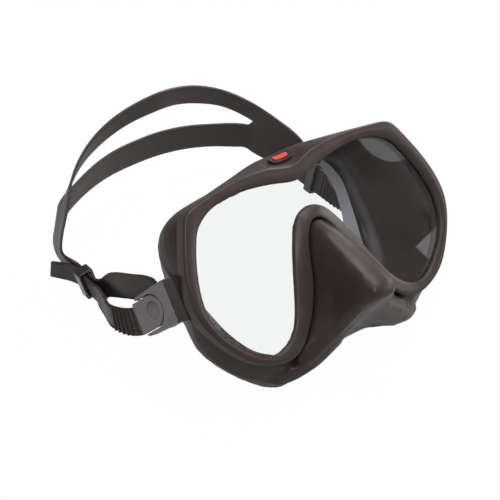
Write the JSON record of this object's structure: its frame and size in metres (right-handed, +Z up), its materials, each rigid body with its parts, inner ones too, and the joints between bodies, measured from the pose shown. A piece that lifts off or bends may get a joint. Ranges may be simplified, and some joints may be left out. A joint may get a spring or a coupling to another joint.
{
  "type": "diving mask",
  "caption": "Diving mask: a wide flat lens in a soft-touch bezel, a silicone skirt with a nose pocket, and a slotted head strap held by release-lever buckles.",
  "frame": {"origin": "centre of the box's base, on the table the mask lies on", "axes": "+X the viewer's right and the diver's left, +Y to the back strap, +Z up; the lens leans back 38 degrees"},
  "size_m": [0.1848, 0.2195, 0.0996],
  "materials": {
    "soft_touch_plastic": "warm black soft-touch moulding, satin",
    "nylon": "plain black moulding",
    "tempered_glass": "clear, polished",
    "black_silicone": "matte black silicone",
    "badge_rubber": "matte",
    "red_enamel": "plain red, no mark",
    "grey_acetal": "mid grey, fine texture",
    "gloss_acetal": "glossy black",
    "stainless_steel": "drawn bar"
  },
  "bodies": {
    "mask": {"front_bezel": "soft_touch_plastic", "lens": "tempered_glass", "inner_frame": "nylon", "skirt": "black_silicone", "badge_pad": "badge_rubber", "badge_inlay": "red_enamel", "buckle_lug_left": "black_silicone", "buckle_lug_right": "black_silicone"},
    "harness": {"lug_pin_left": "stainless_steel", "lug_pin_right": "stainless_steel", "buckle_frame_left": "grey_acetal", "buckle_frame_right": "grey_acetal", "lever_pin_left": "stainless_steel", "lever_pin_right": "stainless_steel", "head_strap": "black_silicone"},
    "release_lever_left": {"release_lever_left": "grey_acetal"},
    "strap_roller_left": {"strap_roller_left": "stainless_steel"},
    "strap_keeper_left": {"strap_keeper_left": "gloss_acetal"},
    "release_lever_right": {"release_lever_right": "grey_acetal"},
    "strap_roller_right": {"strap_roller_right": "stainless_steel"},
    "strap_keeper_right": {"strap_keeper_right": "gloss_acetal"}
  },
  "joints": [
    {"name": "strap_swing", "type": "hinge", "parent": "mask", "child": "harness", "pos_m": [0, -0.04778, 0.05959], "axis": [1, 0, 0], "range_deg": [-20, 20], "stiffness_Nm_per_rad": 1.3, "deforming": ["buckle_lug_left", "buckle_lug_right"]},
    {"name": "release_lever_left_press", "type": "hinge", "parent": "harness", "child": "release_lever_left", "pos_m": [0.08628, -0.03148, 0.0422], "axis": [0.1235, -0.7671, -0.6295], "range_deg": [0, 5], "stiffness_Nm_per_rad": 0.03, "springref_deg": -5.73},
    {"name": "strap_roller_left_turn", "type": "hinge", "parent": "harness", "child": "strap_roller_left", "pos_m": [0.07801, -0.03696, 0.04725], "axis": [-0.1235, 0.7671, 0.6295], "continuous": true},
    {"name": "strap_keeper_left_slide", "type": "slide", "parent": "harness", "child": "strap_keeper_left", "axis": [0, 1, 0], "range_m": [-0.004, 0.004]},
    {"name": "release_lever_right_press", "type": "hinge", "parent": "harness", "child": "release_lever_right", "pos_m": [-0.08628, -0.03148, 0.0422], "axis": [0.1235, 0.7671, 0.6295], "range_deg": [0, 5], "stiffness_Nm_per_rad": 0.03, "springref_deg": -5.73},
    {"name": "strap_roller_right_turn", "type": "hinge", "parent": "harness", "child": "strap_roller_right", "pos_m": [-0.07801, -0.03696, 0.04725], "axis": [0.1235, 0.7671, 0.6295], "continuous": true},
    {"name": "strap_keeper_right_slide", "type": "slide", "parent": "harness", "child": "strap_keeper_right", "axis": [0, 1, 0], "range_m": [-0.004, 0.004]}
  ]
}
